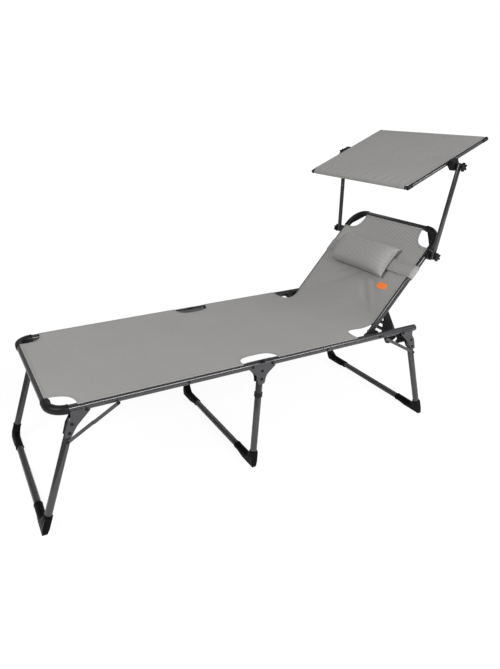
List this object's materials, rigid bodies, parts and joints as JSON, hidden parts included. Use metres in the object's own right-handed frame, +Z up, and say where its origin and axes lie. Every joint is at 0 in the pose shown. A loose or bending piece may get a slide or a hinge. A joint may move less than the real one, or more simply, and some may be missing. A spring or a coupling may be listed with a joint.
{
  "type": "sun lounger with canopy",
  "caption": "Folding sun lounger on tube legs with a stretched cloth bed, a reclining backrest, a head pillow and a tilting canopy on two arms.",
  "frame": {"origin": "on the floor under the centre of the whole lounger's bounding box", "axes": "+X from the foot end to the head end, +Y to the far side, +Z up"},
  "size_m": [2.0484, 0.8344, 1.2971],
  "materials": {
    "frame_paint": "anthracite satin paint on steel tube",
    "black_moulding": "matt black moulding",
    "cloth": "grey woven mesh cloth",
    "pillow_cloth": "grey woven mesh cloth over soft filling"
  },
  "bodies": {
    "mid_frame": {"mid_leg": "frame_paint", "mid_leg_collar_near": "black_moulding", "mid_leg_collar_far": "black_moulding", "mid_shoe_near": "black_moulding", "mid_shoe_far": "black_moulding", "mid_bracket_near": "black_moulding", "mid_bracket_far": "black_moulding"},
    "foot_half": {"foot_frame": "frame_paint", "seat_cloth_foot": "cloth", "foot_corner_near": "black_moulding", "foot_corner_far": "black_moulding", "front_gusset_near": "frame_paint", "front_gusset_far": "frame_paint"},
    "head_half": {"head_rail_near": "frame_paint", "head_rail_far": "frame_paint", "seat_cloth_head": "cloth", "hinge_bracket_near": "black_moulding", "hinge_bracket_far": "black_moulding", "rear_gusset_near": "frame_paint", "rear_gusset_far": "frame_paint", "rack_near": "black_moulding", "rack_far": "black_moulding"},
    "front_leg": {"front_leg": "frame_paint", "front_shoe_near": "black_moulding", "front_shoe_far": "black_moulding"},
    "rear_leg": {"rear_leg": "frame_paint", "rear_shoe_near": "black_moulding", "rear_shoe_far": "black_moulding"},
    "front_upper_links": {"front_upper_link_near": "frame_paint", "front_upper_link_far": "frame_paint"},
    "front_lower_links": {"front_lower_link_near": "frame_paint", "front_lower_link_far": "frame_paint"},
    "rear_upper_links": {"rear_upper_link_near": "frame_paint", "rear_upper_link_far": "frame_paint"},
    "rear_lower_links": {"rear_lower_link_near": "frame_paint", "rear_lower_link_far": "frame_paint"},
    "backrest": {"backrest_frame": "frame_paint", "backrest_cloth": "cloth", "backrest_corner_near": "black_moulding", "backrest_corner_far": "black_moulding", "lower_clamp_near": "black_moulding", "lower_clamp_far": "black_moulding"},
    "prop": {"prop_arm_near": "black_moulding", "prop_arm_far": "black_moulding", "prop_lower_tube": "frame_paint", "prop_upper_tube": "frame_paint"},
    "canopy_arms": {"canopy_arm_near": "frame_paint", "canopy_arm_far": "frame_paint"},
    "canopy": {"canopy_frame": "frame_paint", "canopy_cloth": "cloth", "upper_clamp_near": "black_moulding", "upper_clamp_far": "black_moulding"},
    "pillow": {"pillow": "pillow_cloth", "pillow_strap": "cloth"},
    "lower_knob_near": {"lower_knob_near": "black_moulding"},
    "lower_knob_far": {"lower_knob_far": "black_moulding"},
    "upper_knob_near": {"upper_knob_near": "black_moulding"},
    "upper_knob_far": {"upper_knob_far": "black_moulding"}
  },
  "joints": [
    {"name": "foot_half_fold", "type": "hinge", "parent": "mid_frame", "child": "foot_half", "pos_m": [-0.1615, 0, 0.47], "axis": [0, -1, 0], "range_deg": [0, 75]},
    {"name": "head_half_fold", "type": "hinge", "parent": "mid_frame", "child": "head_half", "pos_m": [-0.0715, 0, 0.47], "axis": [0, 1, 0], "range_deg": [0, 80]},
    {"name": "front_leg_fold", "type": "hinge", "parent": "foot_half", "child": "front_leg", "pos_m": [-0.87051, 0, 0.418], "axis": [0, -1, 0], "range_deg": [0, 108]},
    {"name": "rear_leg_fold", "type": "hinge", "parent": "head_half", "child": "rear_leg", "pos_m": [0.67643, 0, 0.418], "axis": [0, 1, 0], "range_deg": [0, 104]},
    {"name": "front_upper_link_turn", "type": "hinge", "parent": "foot_half", "child": "front_upper_links", "pos_m": [-0.70551, 0, 0.46], "axis": [0, -1, 0], "range_deg": [0, 56]},
    {"name": "front_lower_link_turn", "type": "hinge", "parent": "front_leg", "child": "front_lower_links", "pos_m": [-0.89276, 0, 0.35374], "axis": [0, -1, 0], "range_deg": [-175, 0]},
    {"name": "rear_upper_link_turn", "type": "hinge", "parent": "head_half", "child": "rear_upper_links", "pos_m": [0.51143, 0, 0.46], "axis": [0, 1, 0], "range_deg": [0, 55]},
    {"name": "rear_lower_link_turn", "type": "hinge", "parent": "rear_leg", "child": "rear_lower_links", "pos_m": [0.69403, 0, 0.35232], "axis": [0, 1, 0], "range_deg": [-172, 0]},
    {"name": "backrest_recline", "type": "hinge", "parent": "head_half", "child": "backrest", "pos_m": [0.4855, 0, 0.47], "axis": [0, 1, 0], "range_deg": [-10, 47.9]},
    {"name": "prop_swing", "type": "hinge", "parent": "backrest", "child": "prop", "pos_m": [0.57771, 0, 0.56459], "axis": [0, 1, 0], "range_deg": [-95, 21]},
    {"name": "canopy_arms_swing", "type": "hinge", "parent": "backrest", "child": "canopy_arms", "pos_m": [0.77915, 0, 0.79499], "axis": [0, -1, 0], "range_deg": [-36, 60]},
    {"name": "canopy_tilt", "type": "hinge", "parent": "canopy_arms", "child": "canopy", "pos_m": [0.82012, 0, 1.18484], "axis": [0, -1, 0], "range_deg": [-60, 60]},
    {"name": "lower_knob_near_turn", "type": "hinge", "parent": "backrest", "child": "lower_knob_near", "pos_m": [0.77915, -0.3455, 0.79499], "axis": [0, -1, 0], "range_deg": [-180, 180]},
    {"name": "lower_knob_far_turn", "type": "hinge", "parent": "backrest", "child": "lower_knob_far", "pos_m": [0.77915, 0.3455, 0.79499], "axis": [0, 1, 0], "range_deg": [-180, 180]},
    {"name": "upper_knob_near_turn", "type": "hinge", "parent": "canopy", "child": "upper_knob_near", "pos_m": [0.82012, -0.389, 1.18484], "axis": [0, -1, 0], "range_deg": [-180, 180]},
    {"name": "upper_knob_far_turn", "type": "hinge", "parent": "canopy", "child": "upper_knob_far", "pos_m": [0.82012, 0.389, 1.18484], "axis": [0, 1, 0], "range_deg": [-180, 180]},
    {"name": "pillow_slide", "type": "slide", "parent": "backrest", "child": "pillow", "axis": [0.6704, 0, 0.742], "range_m": [-0.09, 0.05]}
  ],
  "couplings": [
    {"joint": "front_upper_link_turn", "follows": "front_leg_fold", "ratio": 0.5085},
    {"joint": "front_lower_link_turn", "follows": "front_leg_fold", "ratio": -1.6106},
    {"joint": "rear_upper_link_turn", "follows": "rear_leg_fold", "ratio": 0.5135},
    {"joint": "rear_lower_link_turn", "follows": "rear_leg_fold", "ratio": -1.6391},
    {"joint": "prop_swing", "follows": "backrest_recline", "ratio": -1.9452}
  ]
}
